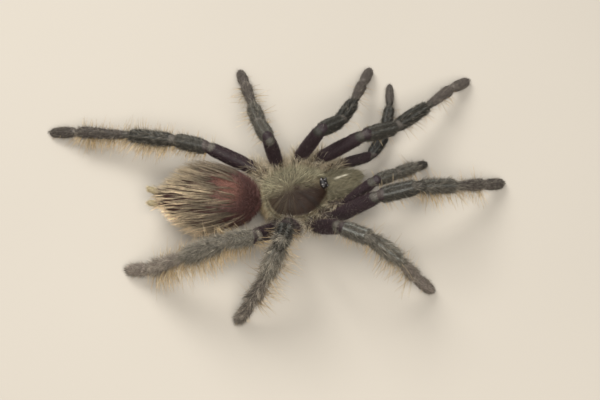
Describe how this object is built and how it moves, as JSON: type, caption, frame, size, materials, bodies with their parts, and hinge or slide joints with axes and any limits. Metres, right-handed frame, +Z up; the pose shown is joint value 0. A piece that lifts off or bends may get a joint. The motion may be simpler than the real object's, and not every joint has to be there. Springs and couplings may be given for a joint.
{
  "type": "tarantula model",
  "caption": "Life-size still tarantula in a walking stance, with jaws, fangs, eyes, palps and hairy legs, resting on small flats under its feet.",
  "frame": {"origin": "on the floor, under the middle of the box round the whole stance", "axes": "+X ahead, where the jaws point; +Y to the animal's left; +Z up"},
  "size_m": [0.1216, 0.0792, 0.0285],
  "materials": {
    "carapace": "dull chitin under short golden-olive hair",
    "underside": "dull dark chitin with short brown hair",
    "abdomen": "soft skin under long tan and reddish hair",
    "chelicerae": "chitin under short pale olive hair",
    "fangs": "glossy black",
    "eyes": "glossy black lenses on a dark turret",
    "femora": "near-black purple-brown chitin with short velvety hair",
    "shins": "dark olive-grey short hair with two pale bare stripes and long pale bristles",
    "feet": "dark grey-brown hair with velvety pads"
  },
  "bodies": {
    "root": {"carapace": "carapace", "eyes": "eyes", "sternum_and_coxae": "underside", "abdomen": "abdomen", "left_chelicera": "chelicerae", "left_fang": "fangs", "left_spinneret": "underside", "right_chelicera": "chelicerae", "right_fang": "fangs", "right_spinneret": "underside", "left_palp_femur": "femora", "left_palp_patella": "shins", "left_palp_tibia": "shins", "left_palp_tarsus": "feet", "left_leg_1_femur": "femora", "left_leg_1_patella": "shins", "left_leg_1_tibia": "shins", "left_leg_1_metatarsus": "feet", "left_leg_1_tarsus": "feet", "left_leg_2_femur": "femora", "left_leg_2_patella": "shins", "left_leg_2_tibia": "shins", "left_leg_2_metatarsus": "feet", "left_leg_2_tarsus": "feet", "left_leg_3_femur": "femora", "left_leg_3_patella": "shins", "left_leg_3_tibia": "shins", "left_leg_3_metatarsus": "feet", "left_leg_3_tarsus": "feet", "left_leg_4_femur": "femora", "left_leg_4_patella": "shins", "left_leg_4_tibia": "shins", "left_leg_4_metatarsus": "feet", "left_leg_4_tarsus": "feet", "right_palp_femur": "femora", "right_palp_patella": "shins", "right_palp_tibia": "shins", "right_palp_tarsus": "feet", "right_leg_1_femur": "femora", "right_leg_1_patella": "shins", "right_leg_1_tibia": "shins", "right_leg_1_metatarsus": "feet", "right_leg_1_tarsus": "feet", "right_leg_2_femur": "femora", "right_leg_2_patella": "shins", "right_leg_2_tibia": "shins", "right_leg_2_metatarsus": "feet", "right_leg_2_tarsus": "feet", "right_leg_3_femur": "femora", "right_leg_3_patella": "shins", "right_leg_3_tibia": "shins", "right_leg_3_metatarsus": "feet", "right_leg_3_tarsus": "feet", "right_leg_4_femur": "femora", "right_leg_4_patella": "shins", "right_leg_4_tibia": "shins", "right_leg_4_metatarsus": "feet", "right_leg_4_tarsus": "feet"}
  },
  "joints": []
}
